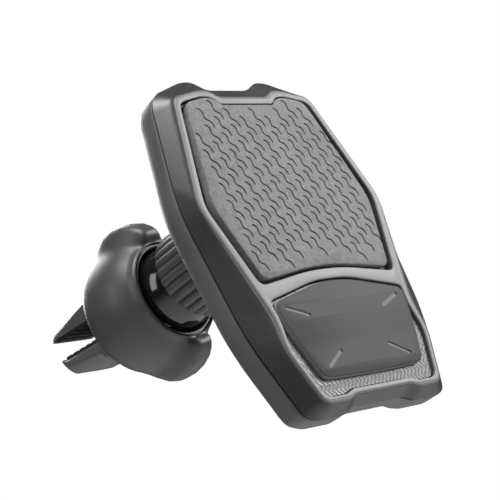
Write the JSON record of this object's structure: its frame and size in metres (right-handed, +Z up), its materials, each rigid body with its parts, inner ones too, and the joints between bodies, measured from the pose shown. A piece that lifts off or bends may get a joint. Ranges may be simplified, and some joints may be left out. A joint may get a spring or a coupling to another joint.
{
  "type": "car phone mount",
  "caption": "magnetic phone holder with a faceted shield-shaped head, ball joint, winged tightening knob and a two-jaw clip for an air-vent louvre",
  "frame": {"origin": "middle of the louvre blade gripped between the two jaws", "axes": "+Z up, -Y out of the dashboard towards the driver, +Y into the vent, X across the car; at rest the head looks up by 5.5 degrees"},
  "size_m": [0.0704, 0.0926, 0.0892],
  "materials": {
    "shell_plastic": "satin moulded grey-black plastic with a fine grain",
    "inner_plastic": "plain black moulding",
    "carbon_plastic": "printed carbon weave under a satin coat",
    "grip_rubber": "matte grey rubber with a wavy tread",
    "smooth_rubber": "satin dark grey rubber",
    "magnet_nickel": "nickel plated",
    "plate_steel": "bright zinc plated",
    "black_steel": "black oxide",
    "gloss_black": "polished black",
    "seat_plastic": "natural acetal",
    "seat_rubber": "black rubber",
    "ring_plastic": "ribbed matte plastic",
    "jaw_plastic": "satin nylon",
    "knob_plastic": "satin moulded plastic with fine seam marks",
    "insert_steel": "blackened steel"
  },
  "bodies": {
    "clip": {"clip_core": "inner_plastic", "ball_stud": "gloss_black", "upper_jaw_pin": "plate_steel", "lower_jaw_pin": "plate_steel", "jaw_spring": "plate_steel"},
    "swivel_pan": {"inner_seat_shim": "seat_plastic"},
    "swivel_tilt": {"outer_seat_shim": "seat_rubber"},
    "head": {"split_socket": "gloss_black", "socket_screw_1": "plate_steel", "socket_screw_2": "plate_steel", "socket_screw_3": "plate_steel", "back_cover": "shell_plastic", "cover_screw_1": "black_steel", "cover_screw_2": "black_steel", "cover_screw_3": "black_steel", "cover_screw_4": "black_steel", "yoke_plate": "plate_steel", "magnet_holder": "inner_plastic", "magnet_1": "magnet_nickel", "magnet_2": "magnet_nickel", "magnet_3": "magnet_nickel", "magnet_4": "magnet_nickel", "magnet_5": "magnet_nickel", "magnet_6": "magnet_nickel", "pad_carrier": "inner_plastic", "carbon_inlay": "carbon_plastic", "front_bezel": "shell_plastic", "upper_grip_pad": "grip_rubber", "lower_grip_pad": "smooth_rubber"},
    "nut": {"ring_nut": "ring_plastic"},
    "knob_body": {"knob": "knob_plastic", "knob_insert": "insert_steel", "thrust_ring": "seat_plastic"},
    "upper_jaw_body": {"upper_jaw": "jaw_plastic", "upper_jaw_pad": "seat_rubber"},
    "lower_jaw_body": {"lower_jaw": "jaw_plastic", "lower_jaw_pad": "seat_rubber"}
  },
  "joints": [
    {"name": "head_pan", "type": "hinge", "parent": "clip", "child": "swivel_pan", "pos_m": [0, -0.032, 0], "axis": [0, 0, 1], "range_deg": [-12, 12]},
    {"name": "head_tilt", "type": "hinge", "parent": "swivel_pan", "child": "swivel_tilt", "pos_m": [0, -0.032, 0], "axis": [1, 0, 0], "range_deg": [-6.5, 17.5]},
    {"name": "head_spin", "type": "hinge", "parent": "swivel_tilt", "child": "head", "pos_m": [0, -0.032, 0], "axis": [0, 0.9954, -0.0958], "continuous": true},
    {"name": "ring_nut_turn", "type": "hinge", "parent": "head", "child": "nut", "pos_m": [0, -0.032, 0], "axis": [0, 0.9954, -0.0958], "range_deg": [0, 270]},
    {"name": "knob_turn", "type": "hinge", "parent": "clip", "child": "knob_body", "pos_m": [0, -0.032, 0], "axis": [0, 1, 0], "range_deg": [-180, 360]},
    {"name": "upper_jaw_close", "type": "hinge", "parent": "clip", "child": "upper_jaw_body", "pos_m": [0, -0.0176, 0.0034], "axis": [1, 0, 0], "range_deg": [-3, 1.5]},
    {"name": "lower_jaw_close", "type": "hinge", "parent": "clip", "child": "lower_jaw_body", "pos_m": [0, -0.0176, -0.0034], "axis": [1, 0, 0], "range_deg": [-1.5, 3]}
  ],
  "couplings": [
    {"joint": "upper_jaw_close", "follows": "knob_turn", "ratio": -0.0083333},
    {"joint": "lower_jaw_close", "follows": "knob_turn", "ratio": 0.0083333}
  ]
}
